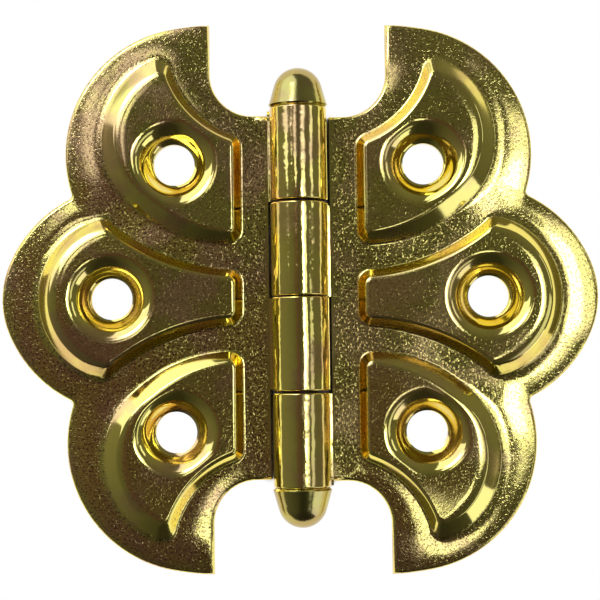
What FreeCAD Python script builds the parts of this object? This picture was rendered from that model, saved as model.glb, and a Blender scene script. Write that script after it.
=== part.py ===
import FreeCAD, Part
import math
import os

import Sketcher
from FreeCAD import Placement, Rotation, Vector

# Butterfly hinge, open flat on its back. Millimetres, +Z towards the viewer, the pin along Y.
# The back faces of both leaves lie on z = 0, and the origin is under the middle of the pin.

doc = FreeCAD.newDocument("butterfly_hinge")

# Driving dimensions

DIMENSIONS = {
    # Sheet, pin and knuckles
    "sheet_gauge": 1.2,
    "pin_radius": 1.75,
    "bore_clearance": 0.05,
    "knuckle_pitch": 10.0,
    "knuckle_gap": 0.35,
    "leaf_play": 0.1,
    "slot_clearance": 0.3,
    "seam_gap": 0.15,
    # Bullet tips
    "tip_radius": 3.1,
    "tip_length": 4.2,
    "tip_nose_radius": 2.6,
    "tip_lip": 0.25,
    "tip_clearance": 0.05,
    "tip_socket_depth": 2.6,
    # Outline of a leaf, from the pin axis outwards and upwards
    "shoulder_y": 19.4,
    "notch_radius": 4.6,
    "wing_lobe_x": 11.24,
    "wing_lobe_y": 15.36,
    "wing_lobe_radius": 13.67,
    "wing_tip_x": 9.4,
    "wing_tip_lift": 0.27,
    "wing_brow_radius": 34.0,
    "nose_x": 22.17,
    "nose_radius": 9.56,
    "flank_shift": 3.91,
    "flank_y": 1.55,
    "valley_radius": 0.5,
    # Raised panels
    "border": 3.97,
    "shoulder_border": 2.64,
    "panel_rise": 0.85,
    "panel_wall": 1.0,
    "panel_tilt": 30.0,
    "panel_side_x": 6.2,
    "panel_corner": 1.5,
    "wing_panel_shift_x": 0.3,
    "wing_panel_shift_y": 1.57,
    "wing_sweep_x": 4.23,
    "wing_sweep_y": 3.92,
    "wing_concave_x": 3.44,
    "wing_concave_radius": 10.38,
    "middle_panel_shift": 3.19,
    "middle_waist": 2.96,
    "middle_concave_x": 6.0,
    "middle_concave_radius": 21.72,
    # Countersunk screw dimples
    "hole_radius": 2.2,
    "wing_hole_shift_x": 2.07,
    "wing_hole_shift_y": 1.11,
    "middle_hole_shift": 2.1,
    "dimple_radius": 3.9,
    "dimple_wall": 0.9,
}

# Dimensions that follow from the driving ones

DERIVED = {
    "bore_radius": "pin_radius + bore_clearance",
    "knuckle_radius": "bore_radius + sheet_gauge",
    "slot_edge": "knuckle_radius + slot_clearance",
    "knuckle_length": "knuckle_pitch - knuckle_gap",
    "tip_base": "2 * knuckle_pitch - knuckle_gap / 2 + leaf_play + tip_clearance",
    "panel_top": "sheet_gauge + panel_rise",
    "hollow_inset": "panel_wall / cos(panel_tilt * 1 deg) - sheet_gauge * tan(panel_tilt * 1 deg)",
    "wing_tip_y": "wing_lobe_y + wing_lobe_radius + wing_tip_lift",
    "flank_x": "nose_x - flank_shift",
    "wing_outer_x": "wing_lobe_x + wing_panel_shift_x",
    "wing_outer_y": "wing_lobe_y + wing_panel_shift_y",
    "wing_outer_radius": "wing_lobe_radius - wing_panel_shift_x - border",
    "wing_bottom_x": "wing_outer_x - wing_sweep_x",
    "wing_bottom_y": "wing_outer_y + wing_sweep_y",
    "wing_concave_y": "shoulder_y - shoulder_border + wing_concave_radius",
    "middle_outer_x": "nose_x - middle_panel_shift",
    "middle_outer_radius": "nose_radius + middle_panel_shift - border",
    "middle_concave_y": "middle_waist + middle_concave_radius",
    "wing_hole_x": "wing_lobe_x + wing_hole_shift_x",
    "wing_hole_y": "wing_lobe_y - wing_hole_shift_y",
    "middle_hole_x": "nose_x - middle_hole_shift",
    "skirt_radius": "dimple_radius - panel_top + dimple_wall * sqrt(2)",
}

sheet = doc.addObject("Spreadsheet::Sheet", "dims")
cells = {alias: str(value) for alias, value in DIMENSIONS.items()}
cells.update({alias: f"={formula}" for alias, formula in DERIVED.items()})
for row, (alias, content) in enumerate(cells.items(), start=1):
    sheet.set(f"A{row}", alias)
    sheet.set(f"B{row}", content)
    sheet.setAlias(f"B{row}", alias)
doc.recompute()


def size(name):
    return float(sheet.get(name))


# Sketch helpers


def origin_plane(body, role):
    return next(o for o in body.Origin.OriginFeatures if o.Role == role)


def new_sketch(body, name, role, lift=None):
    """A sketch on one of the body's own origin planes, lifted along its normal by an expression."""
    sketch = body.newObject("Sketcher::SketchObject", name)
    sketch.AttachmentSupport = [(origin_plane(body, role), "")]
    sketch.MapMode = "FlatFace"
    if lift:
        sketch.setExpression("AttachmentOffset.Base.z", lift)
    return sketch


def bind(sketch, constraint, expression):
    """Adds a driving constraint and ties its value to the sheet."""
    index = sketch.addConstraint(constraint)
    sketch.setExpression(f"Constraints[{index}]", expression)
    return index


def arc_between(centre, radius, start, end):
    """The counter-clockwise arc round centre from the direction of start to that of end."""
    first = math.atan2(start[1] - centre[1], start[0] - centre[0])
    last = math.atan2(end[1] - centre[1], end[0] - centre[0])
    while last < first:
        last += 2 * math.pi
    return Part.ArcOfCircle(Part.Circle(Vector(*centre), Vector(0, 0, 1), radius), first, last)


def draw_polygon(sketch, corners):
    """A closed polygon through corners given as (x, y, x expression, y expression)."""
    count = len(corners)
    for index, corner in enumerate(corners):
        following = corners[(index + 1) % count]
        sketch.addGeometry(Part.LineSegment(Vector(*corner[:2]), Vector(*following[:2])))
    for index, (x, y, x_expression, y_expression) in enumerate(corners):
        following = (index + 1) % count
        sketch.addConstraint(Sketcher.Constraint("Coincident", index, 2, following, 1))
        bind(sketch, Sketcher.Constraint("DistanceX", -1, 1, index, 1, x), x_expression)
        bind(sketch, Sketcher.Constraint("DistanceY", -1, 1, index, 1, y), y_expression)


def crossings(first, second):
    """Where two circles (x, y, radius) cross, the crossing nearer to the barrel first."""
    (x1, y1, r1), (x2, y2, r2) = first, second
    span = math.hypot(x2 - x1, y2 - y1)
    along = (r1**2 - r2**2 + span**2) / (2 * span)
    across = math.sqrt(max(r1**2 - along**2, 0.0))
    ux, uy = (x2 - x1) / span, (y2 - y1) / span
    return sorted(
        (x1 + along * ux - side * across * uy, y1 + along * uy + side * across * ux)
        for side in (1, -1)
    )


# Each panel has a straight side along the barrel and three arcs, counter-clockwise. An arc is
# (centre x, centre y, radius, bulge): bulge is 1 where the panel lies inside the circle and -1
# where it lies outside, and an arc without a radius runs tangent into the next one.

WING_ARCS = [
    ("wing_bottom_x", "wing_bottom_y", None, 1),
    ("wing_outer_x", "wing_outer_y", "wing_outer_radius", 1),
    ("wing_concave_x", "wing_concave_y", "wing_concave_radius", -1),
]
MIDDLE_ARCS = [
    ("middle_concave_x", "-middle_concave_y", "middle_concave_radius", -1),
    ("middle_outer_x", None, "middle_outer_radius", 1),
    ("middle_concave_x", "middle_concave_y", "middle_concave_radius", -1),
]


def signed(name):
    """A size and its expression, from a name that may have a minus sign, or 0 for no name."""
    if name is None:
        return 0.0, "0"
    sign = -1 if name.startswith("-") else 1
    plain = name.lstrip("-")
    return sign * size(plain), f"{sign} * dims.{plain}"


def draw_panel(sketch, arcs, inset, inset_expression):
    """A panel's outline with round corners, moved inwards by inset."""
    corner = size("panel_corner") - inset
    side_x = size("panel_side_x") + inset
    circles = []
    for x, y, radius, bulge in arcs:
        reach = signed(radius)[0] - bulge * inset
        circles.append([signed(x)[0], signed(y)[0], reach, bulge])
    for index, arc in enumerate(arcs):
        if arc[2] is None:
            here, there = circles[index], circles[index + 1]
            here[2] = there[2] + math.hypot(here[0] - there[0], here[1] - there[1])

    def corner_locus(circle):
        return circle[0], circle[1], circle[2] - circle[3] * corner

    def towards(circle, point):
        return math.atan2(point[1] - circle[1], point[0] - circle[0])

    # Corner centres: two on the straight side, and one wherever two arcs meet at an angle
    def side_corner(circle, height):
        x, y, reach = corner_locus(circle)
        rise = math.sqrt(reach**2 - (side_x + corner - x) ** 2)
        return side_x + corner, y + height * circle[3] * rise

    joints = [side_corner(circles[0], -1)]
    for index in range(len(circles) - 1):
        here, there = circles[index], circles[index + 1]
        tangent = arcs[index][2] is None
        joints.append(None if tangent else crossings(corner_locus(here), corner_locus(there))[1])
    joints.append(side_corner(circles[-1], 1))

    # Geometry, as (index, start point, end point) in counter-clockwise order round the panel
    chain = []

    def add_arc(x, y, radius, first, last, bulge):
        if bulge < 0:
            first, last = last, first
        while last < first:
            last += 2 * math.pi
        circle = Part.Circle(Vector(x, y, 0), Vector(0, 0, 1), radius)
        index = sketch.addGeometry(Part.ArcOfCircle(circle, first, last))
        chain.append((index, 1, 2) if bulge > 0 else (index, 2, 1))
        return index

    def add_corner(centre, first, last):
        index = add_arc(*centre, corner, first, last, 1)
        bind(
            sketch,
            Sketcher.Constraint("Radius", index, corner),
            f"dims.panel_corner - ({inset_expression})",
        )

    def outward(index, point):
        """Direction from a corner's centre to where it touches the arc with this index."""
        angle = towards(circles[index], point)
        return angle if circles[index][3] > 0 else angle + math.pi

    low, high = joints[0], joints[-1]
    side = sketch.addGeometry(
        Part.LineSegment(Vector(side_x, high[1], 0), Vector(side_x, low[1], 0))
    )
    chain.append((side, 1, 2))
    sketch.addConstraint(Sketcher.Constraint("Vertical", side))
    bind(
        sketch,
        Sketcher.Constraint("DistanceX", -1, 1, side, 1, side_x),
        f"dims.panel_side_x + ({inset_expression})",
    )
    add_corner(low, math.pi, outward(0, low))
    for index, (x, y, radius, bulge) in enumerate(arcs):
        circle = circles[index]
        before, after = joints[index], joints[index + 1]
        if before is None:
            before = [2 * circle[0] - circles[index - 1][0], 2 * circle[1] - circles[index - 1][1]]
        if after is None:
            following = circles[index + 1]
            after = [following[0], following[1]]
        geometry = add_arc(*circle[:3], towards(circle, before), towards(circle, after), bulge)
        for kind, name in (("DistanceX", x), ("DistanceY", y)):
            value, expression = signed(name)
            bind(sketch, Sketcher.Constraint(kind, -1, 1, geometry, 3, value), expression)
        if radius:
            bind(
                sketch,
                Sketcher.Constraint("Radius", geometry, circle[2]),
                f"dims.{radius} - {bulge} * ({inset_expression})",
            )
        if joints[index + 1] and index + 1 < len(arcs):
            add_corner(after, outward(index, after), outward(index + 1, after))
    add_corner(high, outward(len(arcs) - 1, high), math.pi)
    for here, there in zip(chain, chain[1:] + chain[:1]):
        sketch.addConstraint(Sketcher.Constraint("Tangent", here[0], here[2], there[0], there[1]))


# Features of a leaf


def pad(body, name, sketch, length):
    feature = body.newObject("PartDesign::Pad", name)
    feature.Profile = sketch
    feature.setExpression("Length", length)
    return feature


def mirror(body, name, feature):
    """The same feature on the other side of the XZ plane."""
    copy = body.newObject("PartDesign::Mirrored", name)
    copy.Originals = [feature]
    copy.MirrorPlane = (origin_plane(body, "XZ_Plane"), [""])
    body.Tip = copy
    return copy


def draw_leaf(sketch):
    """The leaf's outline: a nose between two flanks, then on each side a wing lobe, its brow,
    the straight wing tip and the notch round the barrel's end."""
    nose = (size("nose_x"), 0.0)
    nose_radius = size("nose_radius")
    tip_x, shoulder_y = size("wing_tip_x"), size("shoulder_y")
    slot_edge = size("slot_edge")
    notch_radius = size("notch_radius")
    lobe_radius = size("wing_lobe_radius")
    brow_radius = size("wing_brow_radius")

    def along(start, through, radius):
        """The point at this distance from start, in the direction of through."""
        step = Vector(through[0] - start[0], through[1] - start[1], 0).normalize() * radius
        return start[0] + step.x, start[1] + step.y

    def add(geometry):
        return sketch.addGeometry(geometry)

    def tie(kind, *items):
        sketch.addConstraint(Sketcher.Constraint(kind, *items))

    def place(geometry, point, x, y, x_expression, y_expression):
        bind(sketch, Sketcher.Constraint("DistanceX", -1, 1, geometry, point, x), x_expression)
        bind(sketch, Sketcher.Constraint("DistanceY", -1, 1, geometry, point, y), y_expression)

    def limit(geometry, radius, name):
        bind(sketch, Sketcher.Constraint("Radius", geometry, radius), f"dims.{name}")

    flank = (size("flank_x"), -size("flank_y"))
    flank_radius = nose_radius + math.hypot(nose[0] - flank[0], nose[1] - flank[1])
    nose_end = along(flank, nose, flank_radius)
    lower_nose_end = (nose_end[0], -nose_end[1])
    nose_arc = add(arc_between(nose, nose_radius, lower_nose_end, nose_end))
    place(nose_arc, 3, *nose, "dims.nose_x", "0")
    limit(nose_arc, nose_radius, "nose_radius")
    slot = add(Part.LineSegment(Vector(slot_edge, shoulder_y), Vector(slot_edge, -shoulder_y)))
    tie("Vertical", slot)
    bind(sketch, Sketcher.Constraint("DistanceX", -1, 1, slot, 1, slot_edge), "dims.slot_edge")

    lobe = (size("wing_lobe_x"), size("wing_lobe_y"))
    valley_radius = size("valley_radius")
    valley = crossings(
        (*flank, flank_radius + valley_radius), (*lobe, lobe_radius + valley_radius)
    )[1]
    flank_end = along(flank, valley, flank_radius)
    lobe_start = along(lobe, valley, lobe_radius)
    tip = (tip_x, size("wing_tip_y"))
    brow = crossings((*lobe, brow_radius - lobe_radius), (*tip, brow_radius))[0]
    brow_end = along(brow, lobe, brow_radius)
    notch = (tip_x - notch_radius, shoulder_y + notch_radius)

    for side in (1, -1):
        # start and end swap on the mirrored half, because arcs run counter-clockwise
        start, end = (1, 2) if side > 0 else (2, 1)

        def mirrored(point):
            return point[0], side * point[1]

        def arc(centre, radius, first, last):
            ends = (mirrored(first), mirrored(last))[::side]
            return add(arc_between(mirrored(centre), radius, *ends))

        flank_arc = arc(flank, flank_radius, nose_end, flank_end)
        valley_arc = arc(valley, valley_radius, lobe_start, flank_end)
        lobe_arc = arc(lobe, lobe_radius, lobe_start, brow_end)
        brow_arc = arc(brow, brow_radius, brow_end, tip)
        notch_arc = arc(notch, notch_radius, (notch[0], shoulder_y), (tip_x, notch[1]))
        edge = add(
            Part.LineSegment(Vector(*mirrored(tip)), Vector(*mirrored((tip_x, notch[1]))))
        )
        shoulder = add(
            Part.LineSegment(
                Vector(*mirrored((notch[0], shoulder_y))), Vector(slot_edge, side * shoulder_y)
            )
        )
        place(
            flank_arc, 3, *mirrored(flank), "dims.flank_x", f"{side} * -1 * dims.flank_y"
        )
        place(
            lobe_arc, 3, *mirrored(lobe), "dims.wing_lobe_x", f"{side} * dims.wing_lobe_y"
        )
        place(edge, 1, *mirrored(tip), "dims.wing_tip_x", f"{side} * dims.wing_tip_y")
        limit(valley_arc, valley_radius, "valley_radius")
        limit(lobe_arc, lobe_radius, "wing_lobe_radius")
        limit(brow_arc, brow_radius, "wing_brow_radius")
        limit(notch_arc, notch_radius, "notch_radius")
        tie("Vertical", edge)
        tie("Horizontal", shoulder)
        bind(
            sketch,
            Sketcher.Constraint("DistanceY", -1, 1, shoulder, 1, side * shoulder_y),
            f"{side} * dims.shoulder_y",
        )
        tie("Tangent", nose_arc, end, flank_arc, start)
        tie("Tangent", flank_arc, end, valley_arc, end)
        tie("Tangent", valley_arc, start, lobe_arc, start)
        tie("Tangent", lobe_arc, end, brow_arc, start)
        tie("Coincident", brow_arc, end, edge, 1)
        tie("Tangent", edge, 2, notch_arc, end)
        tie("Tangent", notch_arc, start, shoulder, 1)
        tie("Coincident", shoulder, 2, slot, start)


def add_plate(body):
    outline = new_sketch(body, f"{body.Name}_outline", "XY_Plane")
    draw_leaf(outline)
    return pad(body, f"{body.Name}_plate", outline, "dims.sheet_gauge")


def add_knuckles(body):
    """The strap that leaves the plate, runs under the pin and curls back over it."""
    sketch = new_sketch(
        body, f"{body.Name}_curl", "XZ_Plane", "-dims.knuckle_pitch / 2"
    )
    gauge = size("sheet_gauge")
    bore_radius, knuckle_radius = size("bore_radius"), size("knuckle_radius")
    slot_edge = size("slot_edge")
    axis_height = size("tip_radius")
    centre = Vector(0, axis_height, 0)
    span = math.hypot(slot_edge, axis_height)
    tangent = math.atan2(axis_height, -slot_edge) + math.asin(knuckle_radius / span)
    last = tangent + math.pi / 2
    first = math.asin((gauge + size("seam_gap") - axis_height) / knuckle_radius)

    def on_circle(radius, angle):
        return centre + Vector(math.cos(angle), math.sin(angle), 0) * radius

    outer, inner = (
        sketch.addGeometry(
            Part.ArcOfCircle(Part.Circle(centre, Vector(0, 0, 1), radius), first, last)
        )
        for radius in (knuckle_radius, bore_radius)
    )
    back = sketch.addGeometry(
        Part.LineSegment(on_circle(knuckle_radius, last), Vector(slot_edge, 0, 0))
    )
    root = sketch.addGeometry(
        Part.LineSegment(Vector(slot_edge, 0, 0), Vector(slot_edge, gauge, 0))
    )
    face = sketch.addGeometry(
        Part.LineSegment(Vector(slot_edge, gauge, 0), on_circle(bore_radius, last))
    )
    seam = sketch.addGeometry(
        Part.LineSegment(on_circle(bore_radius, first), on_circle(knuckle_radius, first))
    )
    for constraint in (
        Sketcher.Constraint("Tangent", outer, 2, back, 1),
        Sketcher.Constraint("Coincident", back, 2, root, 1),
        Sketcher.Constraint("Coincident", root, 2, face, 1),
        Sketcher.Constraint("Tangent", face, 2, inner, 2),
        Sketcher.Constraint("Coincident", inner, 1, seam, 1),
        Sketcher.Constraint("Coincident", seam, 2, outer, 1),
        Sketcher.Constraint("Coincident", inner, 3, outer, 3),
        Sketcher.Constraint("PointOnObject", outer, 3, -2),
        Sketcher.Constraint("PointOnObject", outer, 3, seam),
        Sketcher.Constraint("Vertical", root),
        Sketcher.Constraint("PointOnObject", root, 1, -1),
    ):
        sketch.addConstraint(constraint)
    for constraint, expression in (
        (Sketcher.Constraint("DistanceY", -1, 1, outer, 3, axis_height), "dims.tip_radius"),
        (Sketcher.Constraint("Radius", outer, knuckle_radius), "dims.knuckle_radius"),
        (Sketcher.Constraint("Radius", inner, bore_radius), "dims.bore_radius"),
        (Sketcher.Constraint("DistanceX", -1, 1, root, 1, slot_edge), "dims.slot_edge"),
        (Sketcher.Constraint("DistanceY", root, 1, root, 2, gauge), "dims.sheet_gauge"),
        (
            Sketcher.Constraint("DistanceY", root, 2, outer, 1, size("seam_gap")),
            "dims.seam_gap",
        ),
    ):
        bind(sketch, constraint, expression)
    knuckle = pad(body, f"{body.Name}_knuckle", sketch, "dims.knuckle_length")
    knuckle.SideType = "Symmetric"
    pair = body.newObject("PartDesign::LinearPattern", f"{body.Name}_knuckles")
    pair.Originals = [knuckle]
    pair.Direction = (sketch, ["N_Axis"])
    pair.setExpression("Length", "2 * dims.knuckle_pitch")
    pair.Occurrences = 2
    body.Tip = pair
    return pair


def add_panel(body, name, arcs):
    """A raised panel and the hollow behind it, with walls that lean by panel_tilt."""
    outline = new_sketch(body, f"{name}_outline", "XY_Plane", "dims.sheet_gauge")
    draw_panel(outline, arcs, 0.0, "0")
    raised = pad(body, name, outline, "dims.panel_rise")
    raised.setExpression("TaperAngle", "-dims.panel_tilt")
    return raised


def add_hollow(body, name, arcs):
    outline = new_sketch(body, f"{name}_outline", "XY_Plane")
    draw_panel(outline, arcs, size("hollow_inset"), "dims.hollow_inset")
    hollow = body.newObject("PartDesign::Pocket", name)
    hollow.Profile = outline
    hollow.Reversed = True
    hollow.setExpression("Length", "dims.panel_rise")
    hollow.setExpression("TaperAngle", "-dims.panel_tilt")
    return hollow


def dimple_sketch(body, name, hole, profile):
    """A half section in the plane through a hole's axis, as (radius, height, expressions)."""
    hole_x, hole_y = hole
    sketch = new_sketch(body, name, "XZ_Plane", f"-1 * ({signed(hole_y)[1]})")
    sketch.setExpression("AttachmentOffset.Base.x", signed(hole_x)[1])
    draw_polygon(sketch, profile)
    return sketch


def add_dimple(body, name, hole):
    """The sheet round a screw hole, pressed down into a 45 degree countersink."""
    mouth, bore = size("dimple_radius"), size("hole_radius")
    skirt, rise, top = size("skirt_radius"), size("panel_rise"), size("panel_top")
    cup = dimple_sketch(
        body,
        f"{name}_cup_section",
        hole,
        [
            (0, 0, "0", "0"),
            (skirt, 0, "dims.skirt_radius", "0"),
            (skirt + rise, rise, "dims.skirt_radius + dims.panel_rise", "dims.panel_rise"),
            (0, rise, "0", "dims.panel_rise"),
        ],
    )
    filled = body.newObject("PartDesign::Revolution", f"{name}_cup")
    filled.Profile = cup
    filled.ReferenceAxis = (cup, ["V_Axis"])
    sink = dimple_sketch(
        body,
        f"{name}_sink_section",
        hole,
        [
            (0, 0, "0", "0"),
            (bore, 0, "dims.hole_radius", "0"),
            (
                bore,
                top - mouth + bore,
                "dims.hole_radius",
                "dims.panel_top - dims.dimple_radius + dims.hole_radius",
            ),
            (mouth, top, "dims.dimple_radius", "dims.panel_top"),
            (0, top, "0", "dims.panel_top"),
        ],
    )
    pierced = body.newObject("PartDesign::Groove", f"{name}_sink")
    pierced.Profile = sink
    pierced.ReferenceAxis = (sink, ["V_Axis"])
    return pierced


def build_leaf(name, turn, play):
    body = doc.addObject("PartDesign::Body", name)
    body.Label = name
    body.Tip = add_plate(body)
    doc.recompute()
    add_knuckles(body)
    add_panel(body, f"{name}_middle_panel", MIDDLE_ARCS)
    mirror(body, f"{name}_wing_panels", add_panel(body, f"{name}_wing_panel", WING_ARCS))
    add_hollow(body, f"{name}_middle_hollow", MIDDLE_ARCS)
    mirror(body, f"{name}_wing_hollows", add_hollow(body, f"{name}_wing_hollow", WING_ARCS))
    for place, hole in (
        ("upper", ("wing_hole_x", "wing_hole_y")),
        ("middle", ("middle_hole_x", None)),
        ("lower", ("wing_hole_x", "-wing_hole_y")),
    ):
        add_dimple(body, f"{name}_{place}", hole)
    doc.recompute()
    body.Placement = Placement(Vector(0, 0, 0), Rotation(Vector(0, 0, 1), turn))
    body.setExpression("Placement.Base.y", play)
    return body


def draw_bullet(sketch, side):
    """Half section of a bullet tip at the upper (1) or lower (-1) end of the barrel.

    It starts on the axis, where the pin's lower end is: the upper tip has the pin as its shank,
    and the lower one has a socket of the same size.
    """
    pin_radius = size("pin_radius")
    tip_radius = size("tip_radius")
    lip = size("tip_lip")
    tip_base = size("tip_base")
    nose_radius = size("tip_nose_radius")
    base = side * tip_base
    pin_end = -tip_base - size("tip_socket_depth")
    top = base + side * size("tip_length")
    nose_y = size("tip_length") - nose_radius
    reach = math.hypot(tip_radius, nose_y - lip)
    slope = math.acos(nose_radius / reach) - math.atan2(nose_y - lip, tip_radius)
    nose = Vector(0, base + side * nose_y, 0)
    joint = nose + Vector(math.cos(slope), side * math.sin(slope), 0) * nose_radius
    corners = [
        (0, top),
        (0, pin_end),
        (pin_radius, pin_end),
        (pin_radius, base),
        (tip_radius - lip, base),
        (tip_radius, base + side * lip),
        (joint.x, joint.y),
    ]
    axis, floor, wall, seat, rim, flank = (
        sketch.addGeometry(Part.LineSegment(Vector(*first), Vector(*last)))
        for first, last in zip(corners, corners[1:])
    )
    ends = (corners[-1], corners[0])[::side]
    dome = sketch.addGeometry(arc_between(tuple(nose)[:2], nose_radius, *ends))
    # start and end swap on the lower tip, because arcs run counter-clockwise
    start, end = (1, 2) if side > 0 else (2, 1)
    for kind, *items in (
        ("Coincident", axis, 2, floor, 1),
        ("Coincident", floor, 2, wall, 1),
        ("Coincident", wall, 2, seat, 1),
        ("Coincident", seat, 2, rim, 1),
        ("Coincident", rim, 2, flank, 1),
        ("Tangent", flank, 2, dome, start),
        ("Coincident", dome, end, axis, 1),
        ("Horizontal", floor),
        ("Horizontal", seat),
        ("Vertical", wall),
        ("PointOnObject", axis, 1, -2),
        ("PointOnObject", axis, 2, -2),
        ("PointOnObject", dome, 3, -2),
    ):
        sketch.addConstraint(Sketcher.Constraint(kind, *items))
    for kind, *items, expression in (
        ("DistanceY", -1, 1, floor, 1, pin_end, "-dims.tip_base - dims.tip_socket_depth"),
        ("DistanceX", -1, 1, wall, 1, pin_radius, "dims.pin_radius"),
        ("DistanceY", -1, 1, seat, 1, base, f"{side} * dims.tip_base"),
        ("DistanceX", -1, 1, rim, 1, tip_radius - lip, "dims.tip_radius - dims.tip_lip"),
        ("DistanceX", -1, 1, rim, 2, tip_radius, "dims.tip_radius"),
        (
            "DistanceY",
            -1,
            1,
            rim,
            2,
            base + side * lip,
            f"{side} * (dims.tip_base + dims.tip_lip)",
        ),
        ("Radius", dome, nose_radius, "dims.tip_nose_radius"),
        ("DistanceY", -1, 1, axis, 1, top, f"{side} * (dims.tip_base + dims.tip_length)"),
    ):
        bind(sketch, Sketcher.Constraint(kind, *items), expression)


def build_turned(name, side):
    """A turned piece round the hinge axis: the pin with its upper tip, or the lower tip."""
    body = doc.addObject("PartDesign::Body", name)
    body.Label = name
    section = new_sketch(body, f"{name}_section", "XY_Plane", "dims.tip_radius")
    draw_bullet(section, side)
    turned = body.newObject("PartDesign::Revolution", f"{name}_turned")
    turned.Profile = section
    turned.ReferenceAxis = (section, ["V_Axis"])
    return body


def check(bodies):
    for item in doc.Objects:
        if "Invalid" in item.State or "Error" in item.State:
            raise RuntimeError(f"{item.Name} did not compute: {item.State}")
        if item.isDerivedFrom("Sketcher::SketchObject") and not item.FullyConstrained:
            raise RuntimeError(f"{item.Name} is not fully constrained")
    for body in bodies:
        shape = body.Shape
        if shape.isNull() or not shape.isValid() or len(shape.Solids) != 1:
            raise RuntimeError(f"{body.Label} is not one valid solid")


hinge = [
    build_leaf("leaf_left", 180, "dims.leaf_play"),
    build_leaf("leaf_right", 0, "-dims.leaf_play"),
    build_turned("pin", 1),
    build_turned("bottom_tip", -1),
]
doc.recompute()
check(hinge)
os.makedirs("parts", exist_ok=True)
for body in hinge:
    body.Shape.exportStep(f"parts/{body.Label}.step")
    print(body.Label, "volume", round(body.Shape.Volume, 1), "cubic millimetres")
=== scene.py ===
import math

import bmesh
import bpy
from mathutils import Matrix, Vector


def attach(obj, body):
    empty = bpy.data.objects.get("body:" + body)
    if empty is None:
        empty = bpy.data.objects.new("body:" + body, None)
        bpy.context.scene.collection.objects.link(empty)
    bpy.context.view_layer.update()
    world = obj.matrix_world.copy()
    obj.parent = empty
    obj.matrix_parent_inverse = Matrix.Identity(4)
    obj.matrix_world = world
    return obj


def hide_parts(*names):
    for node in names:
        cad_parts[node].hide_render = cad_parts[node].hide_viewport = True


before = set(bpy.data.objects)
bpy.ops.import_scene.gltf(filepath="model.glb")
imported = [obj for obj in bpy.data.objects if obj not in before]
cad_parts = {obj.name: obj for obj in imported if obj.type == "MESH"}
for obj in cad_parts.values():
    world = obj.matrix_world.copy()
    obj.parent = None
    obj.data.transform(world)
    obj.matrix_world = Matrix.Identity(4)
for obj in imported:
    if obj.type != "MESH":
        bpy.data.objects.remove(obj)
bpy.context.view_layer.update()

MM = 0.001
# Heights that differ by less than this are the same
SAME = 0.01 * MM

# Heights on a leaf, from its back
HOLE_EDGE_Z = 0.7 * MM
FLANGE_Z = 1.2 * MM
AXIS_Z = 3.1 * MM
# The panels' tops lean: TOP_Z is their height at TOP_END_X, and they fall towards the barrel
TOP_Z = 2.95 * MM
TOP_END_X = 28.0 * MM
TOP_FALL = 0.032

# Places on the right leaf, which has slid down the pin by its play
PLAY = Vector((0, -0.1 * MM, 0))
KNUCKLE_RADIUS = 3.0 * MM
KNUCKLE_UPPER_ENDS = (9.725 * MM, -10.275 * MM)
SLOT_X = 3.7 * MM
PANELS_X = 5.0 * MM
SCREW_HOLES = [Vector(place) * MM for place in ((13.31, 14.25), (20.07, 0), (13.31, -14.25))]
HOLE_RADIUS = 2.2 * MM
MOUTH_RADIUS = 3.9 * MM

# Roundings of the sheet's edges as width, segments and fullness, which keeps closer to the corner
RIM_ROUND = (0.65 * MM, 8, 0.68)
KNUCKLE_ROUND = (0.16 * MM, 3, 0.5)
# The knuckles grow by this at their upper ends, where the leaves' play opens the joints, and what
# lies within END_REACH of an end grows with it
JOINT_FILL = 0.15 * MM
END_REACH = 0.2 * MM

# Angles between faces in degrees: within one flat, at a crease of the back, the most that smooth
# shading passes over, and at a sharp edge
SAME_FLAT = 0.5
BACK_CREASE = 8
SMOOTH_LIMIT = 30
SHARP_EDGE = 60
# The back's creases lie below this height
BACK_TOP_Z = 1.0 * MM
# Upward part of a face's normal: more than LEVEL on a flat, less than STEEP on a wall, and more
# than FRONT_FACING on all of the front
LEVEL = 0.999
STEEP = 0.85
FRONT_FACING = 0.05
# A knuckle's rolled faces point away from the pin by more than this part of their normal
ROLL_FACING = 0.5

# Outlines of the raised panels in millimetres: arcs as (centre x, centre y, radius, bulge), where
# bulge is 1 inside the circle and -1 outside it. A wall's foot is where the sheet starts to rise.
WING_OUTER = (11.54, 16.93)
WING_FOOT = ((7.31, 20.85, 15.17, 1), (*WING_OUTER, 9.4, 1), (3.44, 27.14, 10.38, -1))
WING_CROWN = ((5.53, 22.50, 15.8, 1), (*WING_OUTER, 7.6, 1), (3.44, 27.14, 11.28, -1))
MIDDLE_OUTER = (18.98, 0.0)
MIDDLE_FOOT = ((6.0, -24.68, 21.72, -1), (*MIDDLE_OUTER, 8.78, 1), (6.0, 24.68, 21.72, -1))
MIDDLE_CROWN = ((6.0, -24.68, 22.67, -1), (*MIDDLE_OUTER, 7.2, 1), (6.0, 24.68, 22.67, -1))
# Where a panel's straight side by the barrel is, and the radius of its corners
FOOT_SIDE = (6.2, 1.5)
CROWN_SIDE = (6.95, 0.7)
# Arcs whose circles touch to within this run into each other without a corner
TOUCHING = 0.05
# The outlines are walked in steps of about this length, with at least so many to a piece
SIDE_STEPS = (0.4, 4)
ARC_STEPS = (0.35, 7)

# A wall's slope, as a share of its steepest, at six places from flange to top. A place is in
# millimetres from the wall's foot or crown, with how far it moves along the panel's outer arc.
WALL_SLOPES = (0.0, 0.22, 1.0, 1.0, 0.3, 0.0)
FOOT_PLACES = ((-0.30, -0.95), (-0.05, -0.10), (0.12, -0.04))
CROWN_PLACES = ((-0.20, -0.40), (0.02, -0.32))
# The last place is where the wall has flared into the top, short of the dimple
WALL_FLARE = (0.35, 0.55)
WALL_FLARE_SHARE = 0.45
# Walls change over this length to each side where the outer arc ends
CHANGE_REACH = 1.5
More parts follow.
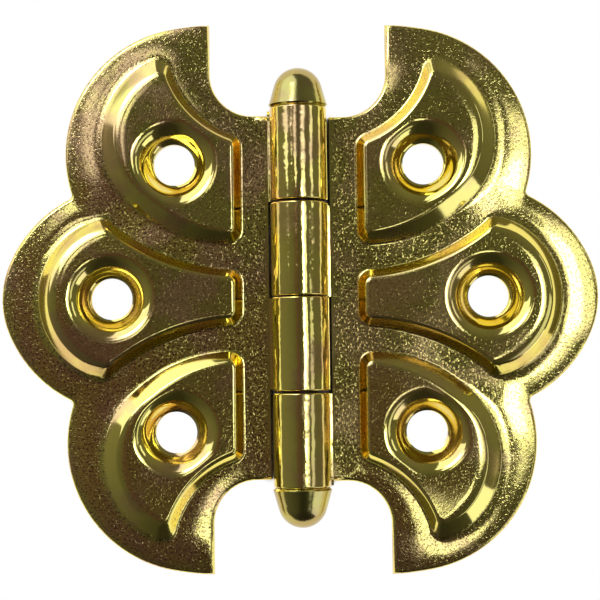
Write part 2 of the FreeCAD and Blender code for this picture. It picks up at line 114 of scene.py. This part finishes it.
# A dimple's slope at four places from its hole, the last of them past its mouth
DIMPLE_SLOPES = (0.35, 0.8, 1.0, 0.0)
DIMPLE_PLACES = (0.0, 0.40, 0.85)
MOUTH_FLARE = 1.0
MOUTH_FLARE_SHARE = 0.85
PROFILE_STEPS = 4


# Outlines of the panels, in millimetres


def crossing(first, second):
    """The point farther from the barrel where two circles (x, y, radius) meet."""
    (x1, y1, r1), (x2, y2, r2) = first, second
    span = math.hypot(x2 - x1, y2 - y1)
    along = (r1 * r1 - r2 * r2 + span * span) / (2 * span)
    across = math.sqrt(max(r1 * r1 - along * along, 0.0))
    ux, uy = (x2 - x1) / span, (y2 - y1) / span
    return max(
        (x1 + along * ux - way * across * uy, y1 + along * uy + way * across * ux)
        for way in (1, -1)
    )


def direction(centre, point):
    return math.atan2(point[1] - centre[1], point[0] - centre[0])


def outline(arcs, side_x, corner):
    """An outline's straight side as two points, and its round pieces counter-clockwise.

    Each piece is (centre, radius, first angle, last angle), and corners of one radius lie
    between the arcs and beside the straight side.
    """

    def side_corner(arc, way):
        x, y, radius, bulge = arc
        rise = math.sqrt((radius - bulge * corner) ** 2 - (side_x + corner - x) ** 2)
        return side_x + corner, y + way * bulge * rise

    def touch(arc, joint):
        """Direction from a corner's centre to where it touches an arc."""
        return direction(arc, joint) + (0 if arc[3] > 0 else math.pi)

    joints = [side_corner(arcs[0], -1)]
    for here, there in zip(arcs, arcs[1:]):
        apart = math.hypot(here[0] - there[0], here[1] - there[1])
        if abs(apart - abs(here[2] - there[2])) < TOUCHING:
            joints.append(None)
        else:
            loci = [(x, y, radius - bulge * corner) for x, y, radius, bulge in (here, there)]
            joints.append(crossing(*loci))
    joints.append(side_corner(arcs[-1], 1))

    pieces = []
    previous = math.pi
    for index, arc in enumerate(arcs):
        start, end = joints[index], joints[index + 1]
        if start:
            pieces.append((start, corner, previous, touch(arc, start)))
            first = direction(arc, start)
        else:
            first = direction(arcs[index - 1], arc)
        last = direction(arc, end or arcs[index + 1])
        pieces.append((arc[:2], arc[2], first, last))
        previous = touch(arc, end) if end else None
    pieces.append((joints[-1], corner, previous, math.pi))

    turned = []
    for centre, radius, first, last in pieces:
        while last - first > math.pi:
            last -= 2 * math.pi
        while last - first < -math.pi:
            last += 2 * math.pi
        turned.append((centre, radius, first, last))
    return ((side_x, joints[-1][1]), (side_x, joints[0][1])), turned


def point_on(shape, index, share):
    """A point on an outline's piece with this index, or on its straight side for no index."""
    side, pieces = shape
    if index is None:
        (x1, y1), (x2, y2) = side
        return x1 + (x2 - x1) * share, y1 + (y2 - y1) * share
    centre, radius, first, last = pieces[index]
    turn = first + (last - first) * share
    return centre[0] + radius * math.cos(turn), centre[1] + radius * math.sin(turn)


def walk(foot, crown):
    """Points of foot and crown side by side all round, each with the index of its piece."""
    (top, low), pieces = crown
    lengths = [(None, top[1] - low[1], SIDE_STEPS)]
    for index, (_, radius, first, last) in enumerate(pieces):
        lengths.append((index, radius * abs(last - first), ARC_STEPS))
    points = []
    for index, length, (step_length, fewest) in lengths:
        count = max(fewest, round(length / step_length))
        for step in range(count):
            share = step / count
            low_point, high_point = (point_on(shape, index, share) for shape in (foot, crown))
            points.append((Vector(low_point), Vector(high_point), index))
    return points


def evened(values, points):
    """The average of values round a closed outline over a short reach to each side."""
    count = len(values)
    lengths = [(points[place][1] - points[place - 1][1]).length for place in range(count)]
    result = []
    for place in range(count):
        total = weight = 0.0
        for way in (1, -1):
            distance, at = 0.0, place
            while distance < CHANGE_REACH:
                length = lengths[(at + (way > 0)) % count]
                at = (at + way) % count
                distance += length
                total += values[at] * length
                weight += length
        result.append(total / weight)
    return result


def pressed_profile(places, slopes):
    """The profile of pressed sheet as (distance, share of its height), from slopes at places."""
    line = [(places[0], slopes[0])]
    for place, after, slope, next_slope in zip(places, places[1:], slopes, slopes[1:]):
        for step in range(1, PROFILE_STEPS + 1):
            share = step / PROFILE_STEPS
            ease = share * share * (3 - 2 * share)
            line.append((place + (after - place) * share, slope + (next_slope - slope) * ease))
    heights = [0.0]
    for (here, slope), (there, next_slope) in zip(line, line[1:]):
        heights.append(heights[-1] + (there - here) * (slope + next_slope) / 2)
    return [(distance, height / heights[-1]) for (distance, _), height in zip(line, heights)]


# Picking and rounding in edit mode


def edit(piece):
    bpy.ops.object.select_all(action="DESELECT")
    piece.select_set(True)
    bpy.context.view_layer.objects.active = piece
    bpy.ops.object.mode_set(mode="EDIT")


def pick(piece, kind, wanted):
    """Selects the edges or faces of the edited piece for which wanted is true."""
    mesh = bmesh.from_edit_mesh(piece.data)
    bpy.ops.mesh.select_mode(type=kind)
    bpy.ops.mesh.select_all(action="DESELECT")
    for element in mesh.edges if kind == "EDGE" else mesh.faces:
        if wanted(element):
            element.select_set(True)
    bmesh.update_edit_mesh(piece.data)


def soften(width, segments, fullness):
    """Rounds the picked edges."""
    bpy.ops.mesh.bevel(
        offset_type="OFFSET",
        offset=width,
        segments=segments,
        profile=fullness,
        affect="EDGES",
        clamp_overlap=False,
    )


def crease(edge):
    """The angle between an edge's two faces in degrees, positive where the edge stands out."""
    return math.degrees(edge.calc_face_angle_signed(0.0))


def farthest_x(edge):
    return max(vertex.co.x for vertex in edge.verts)


def from_axis(point):
    return math.hypot(point.x, point.z - AXIS_Z)


def from_hole(point):
    """Distance in plan from the nearest screw hole's centre."""
    place = (point - PLAY).xy
    return min((place - hole).length for hole in SCREW_HOLES)


def top_height(x):
    return TOP_Z - TOP_FALL * (TOP_END_X - x)


def on_top(edge):
    return all(abs(vertex.co.z - top_height(vertex.co.x)) < SAME for vertex in edge.verts)


def on_flange(edge):
    return all(abs(vertex.co.z - FLANGE_Z) < SAME for vertex in edge.verts)


def on_rim(edge):
    """Whether an edge lies on the front of the leaf's outline, apart from the slots."""
    return on_flange(edge) and crease(edge) > SHARP_EDGE and farthest_x(edge) > SLOT_X


def on_knuckle_end(edge):
    """Whether an edge lies on the outer round of a knuckle's end."""
    first, second = (vertex.co for vertex in edge.verts)
    if abs(first.y - second.y) > SAME or crease(edge) < SHARP_EDGE:
        return False
    return all(abs(from_axis(at) - KNUCKLE_RADIUS) < 3 * SAME for at in (first, second))


def on_front(face):
    """Whether a face beside the barrel belongs to the flange, the panels or their dimples."""
    centre = face.calc_center_median()
    if centre.x <= PANELS_X or face.normal.z <= FRONT_FACING:
        return False
    lowest = min(vertex.co.z for vertex in face.verts)
    return lowest > FLANGE_Z - SAME or from_hole(centre) < MOUTH_RADIUS


def on_back_crease(edge):
    """Whether an edge of the leaf's back parts a flat from a wall."""
    level = [abs(face.normal.z) > LEVEL for face in edge.link_faces]
    low = max(vertex.co.z for vertex in edge.verts) < BACK_TOP_Z
    return low and sum(level) == 1 and abs(crease(edge)) > BACK_CREASE


# The pressed leaf


def close_joints(leaf):
    """Lengthens the knuckles at their upper ends."""
    mesh = bmesh.from_edit_mesh(leaf.data)
    for vertex in mesh.verts:
        at_end = any(abs(vertex.co.y - end) < END_REACH for end in KNUCKLE_UPPER_ENDS)
        if at_end and from_axis(vertex.co) < KNUCKLE_RADIUS + SAME:
            vertex.co.y += JOINT_FILL
    bmesh.update_edit_mesh(leaf.data)


def lay_rings(mesh, sections):
    """Closed rings of vertices, the first through the first point of every section, and so on."""
    steps = range(len(sections[0]))
    return [[mesh.verts.new(section[step]) for section in sections] for step in steps]


def ring_faces(mesh, rings):
    for inner, outer in zip(rings, rings[1:]):
        count = len(inner)
        for place in range(count):
            after = (place + 1) % count
            mesh.faces.new((inner[place], inner[after], outer[after], outer[place]))


def panel_wall(mesh, foot, crown, outer_piece, side):
    """Makes a panel's wall, mirrored in y by side, and gives the ring where its top starts."""
    points = walk(foot, crown)
    outerness = evened([float(index == outer_piece) for _, _, index in points], points)
    sections = []
    for (low, high, _), outer in zip(points, outerness):
        run = (high - low).length
        inwards = (high - low) / run
        beside = Vector((high.x, high.y * side)) * MM
        gap = (min((beside - hole).length for hole in SCREW_HOLES) - MOUTH_RADIUS) / MM
        flare = min(WALL_FLARE[0] + WALL_FLARE[1] * outer, WALL_FLARE_SHARE * gap)
        places = [base + shift * outer for base, shift in FOOT_PLACES]
        places += [run + base + shift * outer for base, shift in CROWN_PLACES]
        places.append(run + flare)
        section = []
        for along, up in pressed_profile(places, WALL_SLOPES):
            at = low + inwards * along
            height = FLANGE_Z + (top_height(at.x * MM) - FLANGE_Z) * up
            section.append(Vector((at.x * MM, at.y * side * MM, height)) + PLAY)
        sections.append(section)
    rings = lay_rings(mesh, sections)
    ring_faces(mesh, rings)
    return rings[-1]


def hole_edge(mesh, hole):
    """The vertices round a screw hole where its old dimple was taken off, in order."""
    centre = hole + PLAY.xy
    edge = [
        vertex
        for vertex in mesh.verts
        if any(joined.is_boundary for joined in vertex.link_edges)
        and abs((vertex.co.xy - centre).length - HOLE_RADIUS) < 5 * SAME
    ]
    return sorted(edge, key=lambda vertex: direction(centre, vertex.co))


def dimple(mesh, hole, edge, crown_ring):
    """Makes the countersink from the hole's edge up to a soft mouth in the panel's top."""
    centre = hole + PLAY.xy
    for vertex in edge:
        vertex.co.z = HOLE_EDGE_Z
    bore = (edge[0].co.xy - centre).length
    run = (MOUTH_RADIUS - bore) / MM
    sections = []
    for vertex in edge:
        out = (vertex.co.xy - centre).normalized()
        mouth = centre + out * MOUTH_RADIUS
        gap = min((mouth - other.co.xy).length for other in crown_ring) / MM
        places = (*DIMPLE_PLACES, run + min(MOUTH_FLARE, MOUTH_FLARE_SHARE * gap))
        section = []
        for along, up in pressed_profile(places, DIMPLE_SLOPES)[1:]:
            at = centre + out * (bore + along * MM)
            section.append((*at, HOLE_EDGE_Z + (top_height(at.x) - HOLE_EDGE_Z) * up))
        sections.append(section)
    ring_faces(mesh, [edge, *lay_rings(mesh, sections)])


def shape_front(leaf):
    """Makes the leaf's front anew, with walls that are widest along the panels' outer arcs."""
    pick(leaf, "FACE", on_front)
    bpy.ops.mesh.delete(type="FACE")
    mesh = bmesh.from_edit_mesh(leaf.data)
    edges = [hole_edge(mesh, hole) for hole in SCREW_HOLES]
    wing = outline(WING_FOOT, *FOOT_SIDE), outline(WING_CROWN, *CROWN_SIDE)
    middle = outline(MIDDLE_FOOT, *FOOT_SIDE), outline(MIDDLE_CROWN, *CROWN_SIDE)
    # The outer arc is piece 2 of a wing panel and piece 3 of a middle one
    crowns = [
        panel_wall(mesh, *wing, 2, 1),
        panel_wall(mesh, *middle, 3, 1),
        panel_wall(mesh, *wing, 2, -1),
    ]
    for hole, edge, crown in zip(SCREW_HOLES, edges, crowns):
        dimple(mesh, hole, edge, crown)
    bmesh.update_edit_mesh(leaf.data)
    for on_flat in (on_flange, on_top):
        pick(
            leaf,
            "EDGE",
            lambda edge: edge.is_boundary and on_flat(edge) and farthest_x(edge) > KNUCKLE_RADIUS,
        )
        bpy.ops.mesh.fill(use_beauty=True)
    bpy.ops.mesh.select_all(action="SELECT")
    bpy.ops.mesh.normals_make_consistent(inside=False)


def level_flats(leaf):
    """Shades the flats as planes and the knuckles as rounds, right up to their softened edges."""
    mesh = leaf.data
    shading = [corner.vector.copy() for corner in mesh.corner_normals]
    steep = {vertex for face in mesh.polygons if face.normal.z < STEEP for vertex in face.vertices}
    top_normal = Vector((-TOP_FALL, 0, 1)).normalized()
    for face in mesh.polygons:
        for index, vertex in zip(face.loop_indices, face.vertices):
            at = mesh.vertices[vertex].co
            outwards = Vector((at.x, 0, at.z - AXIS_Z)).normalized()
            rolled = abs(from_axis(at) - KNUCKLE_RADIUS) < SAME
            if rolled and face.normal.dot(outwards) > ROLL_FACING:
                shading[index] = outwards
            elif face.normal.z < -LEVEL:
                shading[index] = Vector((0, 0, -1))
            if vertex in steep:
                continue
            if abs(at.z - FLANGE_Z) < SAME / 10:
                shading[index] = Vector((0, 0, 1))
            elif abs(at.z - top_height(at.x)) < SAME / 10:
                shading[index] = top_normal
    mesh.normals_split_custom_set(shading)


def press_leaf(node, name):
    """A leaf with the soft creases of pressed sheet, shaped from the solid's own surface."""
    leaf = bpy.data.objects.new(name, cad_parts[node].data.copy())
    bpy.context.scene.collection.objects.link(leaf)
    edit(leaf)
    bpy.ops.mesh.select_all(action="SELECT")
    bpy.ops.mesh.remove_doubles(threshold=SAME / 10)
    bpy.ops.mesh.dissolve_limited(angle_limit=math.radians(SAME_FLAT))
    pick(leaf, "EDGE", on_rim)
    soften(*RIM_ROUND)
    pick(leaf, "EDGE", on_knuckle_end)
    soften(*KNUCKLE_ROUND)
    close_joints(leaf)
    shape_front(leaf)
    pick(leaf, "EDGE", on_back_crease)
    bpy.ops.mesh.mark_sharp()
    bpy.ops.object.mode_set(mode="OBJECT")
    bpy.ops.object.shade_smooth_by_angle(angle=math.radians(SMOOTH_LIMIT))
    level_flats(leaf)
    return leaf


# Materials

YELLOW = (0.94, 0.78, 0.17, 1)
ROSY = (0.80, 0.52, 0.20, 1)
DARK_FLECK = (0.30, 0.18, 0.08, 1)
# Bare steel of the pin's shaft, painted nearly black as the shade it lies in between the knuckles
SHAFT_STEEL_AND_SHADE = (0.06, 0.045, 0.03, 1)
# Painted shade: this darkens the plating of the pin's tips all over
PAINTED_TIP_SHADE = (0.62, 0.64, 0.72, 1)
SMOOTH_PLATING = 0.08
ROSY_PLATING = 0.14
TIP_PLATING = 0.17
BARE_STEEL = 0.5
GRAIN_DEPTH = 0.012 * MM

# Where the sheet's rough surface fades in or out, in millimetres: above and below the flange's
# face, below the panels' tops, above the back, off the barrel and off the holes
OVER_FLANGE = (1.25, 1.55)
UNDER_FLANGE = (0.90, 1.15)
UNDER_TOP = 0.15
OVER_BACK = (0.02, 0.12)
OFF_BARREL = (3.2, 3.9)
OFF_HOLE = (4.1, 4.9)
# How much of that roughness the panels' tops keep
TOP_SHARE = 0.5
# The knuckles' rolled surface ends here, and the pin's tips start here
ROLLED = (3.0, 3.3)
TIP_START = (19.7, 19.9)

# Patterns of the plating as size in millimetres and finer detail
PATCHES = (5.0, 3)
FLECKS = (0.24, 2)
PITS = (0.22, 1)
FINE_GRAIN = (0.16, 1)
BROAD_GRAIN = (0.8, 1)
ROLLED_BUMPS = (1.4, 2)
WAVES = (8.0, 0)
# Where in its noise a patch, fleck or pit starts and is full
PATCH_EDGE = (0.42, 0.64)
FLECK_EDGE = (0.50, 0.64)
PIT_EDGE = (0.58, 0.70)
# Heights of the bumps in grain depths
FINE_HEIGHT = 0.25
BROAD_HEIGHT = 0.3
PIT_HEIGHT = -0.45
ROLLED_HEIGHT = 3.5


class Wiring:
    """Adds nodes to a material, group or world; an input is given a number, a colour or a link."""

    def __init__(self, tree):
        self.nodes, self.links = tree.nodes, tree.links

    def feed(self, node, inputs):
        for label, value in inputs.items():
            if isinstance(value, bpy.types.NodeSocket):
                self.links.new(value, node.inputs[label])
            else:
                node.inputs[label].default_value = value

    def add(self, kind, inputs=None, **settings):
        node = self.nodes.new(kind)
        for name, value in settings.items():
            setattr(node, name, value)
        self.feed(node, inputs or {})
        return node

    def maths(self, operation, *values):
        """One operation on a value, on two, or on each further one and the result so far."""
        node = self.add("ShaderNodeMath", dict(enumerate(values[:2])), operation=operation)
        for value in values[2:]:
            inputs = {0: node.outputs[0], 1: value}
            node = self.add("ShaderNodeMath", inputs, operation=operation)
        return node.outputs[0]

    def vectors(self, operation, *values):
        return self.add("ShaderNodeVectorMath", dict(enumerate(values)), operation=operation)

    def split(self, vector):
        return self.add("ShaderNodeSeparateXYZ", {0: vector}).outputs

    def ramp(self, value, low, high, first=0.0, last=1.0):
        """Takes value from the range low to high to the range first to last."""
        ends = {"From Min": low, "From Max": high, "To Min": first, "To Max": last}
        inputs = {"Value": value, **ends}
        node = self.add("ShaderNodeMapRange", inputs, interpolation_type="SMOOTHSTEP")
        return node.outputs["Result"]

    def mix(self, share, first, second, blend="MIX"):
        """Goes from the first colour to the second one by share."""
        inputs = {"Factor": share, "A": first, "B": second}
        node = self.add("ShaderNodeMix", inputs, data_type="RGBA", blend_type=blend)
        return node.outputs["Result"]

    def place_in_mm(self):
        place = self.add("ShaderNodeTexCoord").outputs["Object"]
        scaled = self.add("ShaderNodeMapping", {"Vector": place, "Scale": (1 / MM,) * 3})
        return scaled.outputs["Vector"]

    def noise(self, place, size, detail):
        """Noise whose features are about size millimetres across."""
        inputs = {"Vector": place, "Scale": 1 / size, "Detail": detail}
        return self.add("ShaderNodeTexNoise", inputs).outputs["Fac"]

    def bumps(self, place, pattern, height):
        return self.maths("MULTIPLY", self.noise(place, *pattern), height)


def new_group(name, inputs, outputs):
    """A node group with float inputs (name, value) and outputs (name, socket type)."""
    group = bpy.data.node_groups.new(name, "ShaderNodeTree")
    for label, value in inputs:
        socket = group.interface.new_socket(
            name=label, in_out="INPUT", socket_type="NodeSocketFloat"
        )
        socket.default_value = value
    for label, kind in outputs:
        group.interface.new_socket(name=label, in_out="OUTPUT", socket_type=kind)
    return group, group.nodes.new("NodeGroupInput"), group.nodes.new("NodeGroupOutput")


def rough_sheet(wires, place):
    """How rough the sheet is: full on flange and back, less on the tops, none where it is drawn."""
    x, _, z = wires.split(place)
    across = wires.maths("ABSOLUTE", x)
    over = wires.ramp(z, *OVER_FLANGE, 1.0, 0.0)
    flange = wires.maths("MULTIPLY", over, wires.ramp(z, *UNDER_FLANGE))
    inwards = wires.maths("SUBTRACT", TOP_END_X / MM, across)
    levelled = wires.maths("ADD", z, wires.maths("MULTIPLY", inwards, TOP_FALL))
    tops = wires.ramp(levelled, TOP_Z / MM - UNDER_TOP, TOP_Z / MM, 0.0, TOP_SHARE)
    back = wires.ramp(z, *OVER_BACK, 1.0, 0.0)
    flats = wires.maths("ADD", flange, tops, back)
    # Both leaves' holes lie at the same places when x and y lose their signs
    mirrored = wires.vectors("ABSOLUTE", place).outputs["Vector"]
    in_plan = wires.vectors("MULTIPLY", mirrored, (1, 1, 0)).outputs["Vector"]
    reaches = [
        wires.vectors("DISTANCE", in_plan, (hole.x / MM, hole.y / MM, 0)).outputs["Value"]
        for hole in SCREW_HOLES[:2]
    ]
    off_hole = wires.ramp(wires.maths("MINIMUM", *reaches), *OFF_HOLE)
    return across, wires.maths("MULTIPLY", flats, wires.ramp(across, *OFF_BARREL), off_hole)


def plated_sheet():
    """Yellow plating with rosy patches, and dark flecks and a pebbled grain on the rough sheet."""
    group, given, result = new_group(
        "plated_sheet",
        (("Patches", 0.5), ("Flecks", 0.5), ("Grain", 1.0), ("Waves", 10.0)),
        (
            ("Base Color", "NodeSocketColor"),
            ("Roughness", "NodeSocketFloat"),
            ("Bump Height", "NodeSocketFloat"),
        ),
    )
    wires = Wiring(group)
    place = wires.place_in_mm()
    across, rough = rough_sheet(wires, place)

    patch = wires.ramp(wires.noise(place, *PATCHES), *PATCH_EDGE)
    patches = wires.maths("MULTIPLY", patch, given.outputs["Patches"])
    fleck = wires.ramp(wires.noise(place, *FLECKS), *FLECK_EDGE)
    flecks = wires.maths("MULTIPLY", fleck, given.outputs["Flecks"], rough)
    colour = wires.mix(flecks, wires.mix(patches, YELLOW, ROSY), DARK_FLECK)

    fine = wires.bumps(place, FINE_GRAIN, FINE_HEIGHT)
    broad = wires.bumps(place, BROAD_GRAIN, BROAD_HEIGHT)
    pits = wires.ramp(wires.noise(place, *PITS), *PIT_EDGE, 0.0, PIT_HEIGHT)
    pebbles = wires.maths("ADD", fine, broad, pits)
    grain = wires.maths("MULTIPLY", pebbles, given.outputs["Grain"], rough)
    uneven = wires.bumps(place, ROLLED_BUMPS, ROLLED_HEIGHT)
    rolled = wires.maths("MULTIPLY", uneven, wires.ramp(across, *ROLLED, 1.0, 0.0))
    waves = wires.bumps(place, WAVES, given.outputs["Waves"])
    wires.feed(
        result,
        {
            "Base Color": colour,
            "Roughness": wires.ramp(patch, 0.0, 1.0, SMOOTH_PLATING, ROSY_PLATING),
            "Bump Height": wires.maths("ADD", grain, rolled, waves),
        },
    )
    return group


def plating(name, group, patches, flecks, grain, waves):
    """A shiny yellow plating with its share of rosy patches, flecks, grain and waviness."""
    material = bpy.data.materials.new(name)
    material.use_nodes = True
    wires = Wiring(material.node_tree)
    sheet = wires.add("ShaderNodeGroup", node_tree=group)
    wires.feed(sheet, {"Patches": patches, "Flecks": flecks, "Grain": grain, "Waves": waves})
    height = sheet.outputs["Bump Height"]
    depth = {"Strength": 1.0, "Distance": GRAIN_DEPTH, "Height": height}
    bump = wires.add("ShaderNodeBump", depth)
    wires.feed(
        wires.nodes["Principled BSDF"],
        {
            "Metallic": 1.0,
            "Base Color": sheet.outputs["Base Color"],
            "Roughness": sheet.outputs["Roughness"],
            "Normal": bump.outputs["Normal"],
        },
    )
    return material


def plated_tips(name, group):
    """Plating on the pin's two tips, darkened as painted shade, and its shaft between them painted
    near black as shade.
    """
    material = plating(name, group, 0.7, 0.0, 0.0, 0.0)
    wires = Wiring(material.node_tree)
    shader = wires.nodes["Principled BSDF"]
    along = wires.maths("ABSOLUTE", wires.split(wires.place_in_mm())["Y"])
    plated = shader.inputs["Base Color"].links[0].from_socket
    # Painted shade: the tips' plating is darkened all over by a multiplied colour
    shaded_tips = wires.mix(1.0, plated, PAINTED_TIP_SHADE, blend="MULTIPLY")
    # Painted shade: the shaft between the tips is coloured nearly black
    colour = wires.mix(wires.ramp(along, *TIP_START), SHAFT_STEEL_AND_SHADE, shaded_tips)
    roughness = wires.ramp(along, *TIP_START, BARE_STEEL, TIP_PLATING)
    wires.feed(shader, {"Base Color": colour, "Roughness": roughness})
    return material


# The hinge

sheet_finish = plated_sheet()
left_plating = plating("left_leaf_plating", sheet_finish, 0.9, 0.8, 1.0, 20.0)
right_plating = plating("right_leaf_plating", sheet_finish, 0.6, 0.7, 1.0, 18.0)
pin_plating = plated_tips("pin_plating", sheet_finish)

# Both leaves are one stamping, and the left one is turned half round
leaf_right = press_leaf("leaf_right", "pressed_leaf_right")
leaf_left = press_leaf("leaf_right", "pressed_leaf_left")
edit(leaf_left)
bpy.ops.mesh.select_all(action="SELECT")
bpy.ops.transform.rotate(value=math.pi, orient_axis="Z", center_override=(0, 0, 0))
bpy.ops.object.mode_set(mode="OBJECT")

for leaf, node, body, finish in (
    (leaf_right, "leaf_right", "right_leaf", right_plating),
    (leaf_left, "leaf_left", "left_leaf", left_plating),
):
    leaf.data.materials.clear()
    leaf.data.materials.append(finish)
    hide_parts(node)
    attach(leaf, body)

for node in ("pin", "bottom_tip"):
    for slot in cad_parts[node].material_slots:
        slot.material = pin_plating


# Floor, room and lamps

FLOOR_Z = -0.00002
PAPER = (0.9, 0.9, 0.9, 1)
PAPER_SHADE = (0.06, 0.05, 0.04, 1)
# The paper darkens this close to the hinge, by how much of the sky it still sees
SHADE_REACH = 3 * MM
SHADE_OPEN = (0.15, 0.40)
WHITE_OPEN = (0.24, 0.42)

# The room is rosy above ROSY_HIGH, the upward part of a direction, and left of a slanting line
# across it, which fades over ROSY_LEFT
ROSY_WALL = (1.05, 0.72, 0.85, 1)
PALE_WALL = (0.95, 0.97, 0.88, 1)
ROSY_HIGH = (0.90, 0.97)
ROSY_LEFT = (-0.12, 0.12)
ROSY_SLANT = 0.8
# Its brightness straight above, what the sides, the right and the far wall add, and its darkest
ROOM_ABOVE = 0.068
ROOM_SIDES = 0.09
ROOM_RIGHT = -0.02
ROOM_FAR = 0.07
ROOM_DARKEST = 0.03

DAYLIGHT = (0.95, 1.04, 1.50)
LAMP_DISTANCE = 0.6

# Soft boxes: lean from straight above towards x and y in degrees, size in degrees, brightness
SOFT_BOXES = (
    ("window_left", -43, 47, 58, 50, 1.15),
    ("window_left_near", -24, 30, 26, 24, 2.0),
    ("window_left_core", -26, 32, 14, 14, 5.0),
    ("window_left_sill", -12, 13, 8, 9, 1.2),
    ("overhead_right", 20, 4, 20, 14, 1.3),
    ("overhead_right_core", 15, 2, 11, 8, 4.0),
    ("right_wall", 51, 19, 20, 10, 1.0),
    ("low_near", 6, -10, 7, 7, 1.8),
    ("low_right", 38, -18, 40, 13, 0.65),
    ("window_right", 62, -46, 24, 38, 1.1),
)


def lay_floor():
    """White paper, which camera and metal see as plain white apart from the hinge's shadow."""
    bpy.ops.mesh.primitive_plane_add(size=2.0, location=(0, 0, FLOOR_Z))
    floor = bpy.context.active_object
    floor.name = "studio_floor"
    paper = bpy.data.materials.new("white_paper")
    paper.use_nodes = True
    paper.node_tree.nodes.clear()
    wires = Wiring(paper.node_tree)
    sky = wires.add("ShaderNodeAmbientOcclusion", {"Distance": SHADE_REACH}).outputs["AO"]
    rays = wires.add("ShaderNodeLightPath").outputs
    kinds = ("Is Camera Ray", "Is Glossy Ray", "Is Transmission Ray")
    straight = wires.maths("MAXIMUM", *(rays[kind] for kind in kinds))
    white = wires.maths("MULTIPLY", straight, wires.ramp(sky, *WHITE_OPEN))
    shade = wires.mix(wires.ramp(sky, *SHADE_OPEN), PAPER_SHADE, PAPER)
    diffuse = wires.add("ShaderNodeBsdfDiffuse", {"Color": shade})
    glow = wires.add("ShaderNodeEmission")
    shaders = {0: white, 1: diffuse.outputs[0], 2: glow.outputs[0]}
    surface = wires.add("ShaderNodeMixShader", shaders).outputs[0]
    wires.add("ShaderNodeOutputMaterial", {"Surface": surface})
    floor.data.materials.append(paper)


def light_room(scene):
    """A dim room, rosy overhead on the left and pale elsewhere, darkest at its near end."""
    world = bpy.data.worlds.new("studio")
    scene.world = world
    world.use_nodes = True
    wires = Wiring(world.node_tree)
    x, y, z = wires.split(wires.add("ShaderNodeTexCoord").outputs["Generated"])
    slanting = wires.maths("ADD", x, wires.maths("MULTIPLY", y, ROSY_SLANT))
    low = wires.ramp(z, *ROSY_HIGH, 1.0, 0.0)
    pale = wires.maths("MAXIMUM", low, wires.ramp(slanting, *ROSY_LEFT))
    sides = wires.maths("MULTIPLY", wires.maths("ABSOLUTE", x), ROOM_SIDES)
    right = wires.maths("MULTIPLY", x, ROOM_RIGHT)
    far = wires.maths("MULTIPLY", y, ROOM_FAR)
    grey = wires.maths("ADD", sides, right, far, ROOM_ABOVE)
    wires.feed(
        wires.nodes["Background"],
        {
            "Color": wires.mix(pale, ROSY_WALL, PALE_WALL),
            "Strength": wires.maths("MAXIMUM", grey, ROOM_DARKEST),
        },
    )


def hang_soft_box(scene, name, lean_x, lean_y, wide, high, brightness):
    """A lamp on a sphere round the hinge, facing it, whose power follows from its brightness."""
    data = bpy.data.lights.new(name, "AREA")
    data.shape = "RECTANGLE"
    data.size = 2 * LAMP_DISTANCE * math.tan(math.radians(wide / 2))
    data.size_y = 2 * LAMP_DISTANCE * math.tan(math.radians(high / 2))
    data.energy = brightness * math.pi * data.size * data.size_y
    data.color = DAYLIGHT
    lamp = bpy.data.objects.new(name, data)
    scene.collection.objects.link(lamp)
    lean = math.hypot(lean_x, lean_y)
    across = math.sin(math.radians(lean)) / lean
    above = math.cos(math.radians(lean))
    lamp.location = Vector((across * lean_x, across * lean_y, above)) * LAMP_DISTANCE
    lamp.rotation_euler = (-lamp.location).to_track_quat("-Z", "Y").to_euler()


# Camera, straight above the hinge and a little rolled

EYE = Vector((0.0, -8.4, 177.0)) * MM
AIM = Vector((-0.03, -0.27, 1.2)) * MM
ROLL = 0.757
LENS = 99.4
SENSOR = 36


def set_camera(scene):
    data = bpy.data.cameras.new("camera")
    data.sensor_width = SENSOR
    data.lens = LENS
    data.clip_start = 0.01
    camera = bpy.data.objects.new("camera", data)
    scene.collection.objects.link(camera)
    roll = math.radians(ROLL)
    backward = (EYE - AIM).normalized()
    right = Vector((math.sin(roll), math.cos(roll), 0)).cross(backward).normalized()
    up = backward.cross(right)
    camera.matrix_world = Matrix((right, up, backward)).transposed().to_4x4()
    camera.location = EYE
    scene.camera = camera


scene = bpy.context.scene
scene.view_settings.view_transform = "Standard"
lay_floor()
light_room(scene)
for soft_box in SOFT_BOXES:
    hang_soft_box(scene, *soft_box)
set_camera(scene)
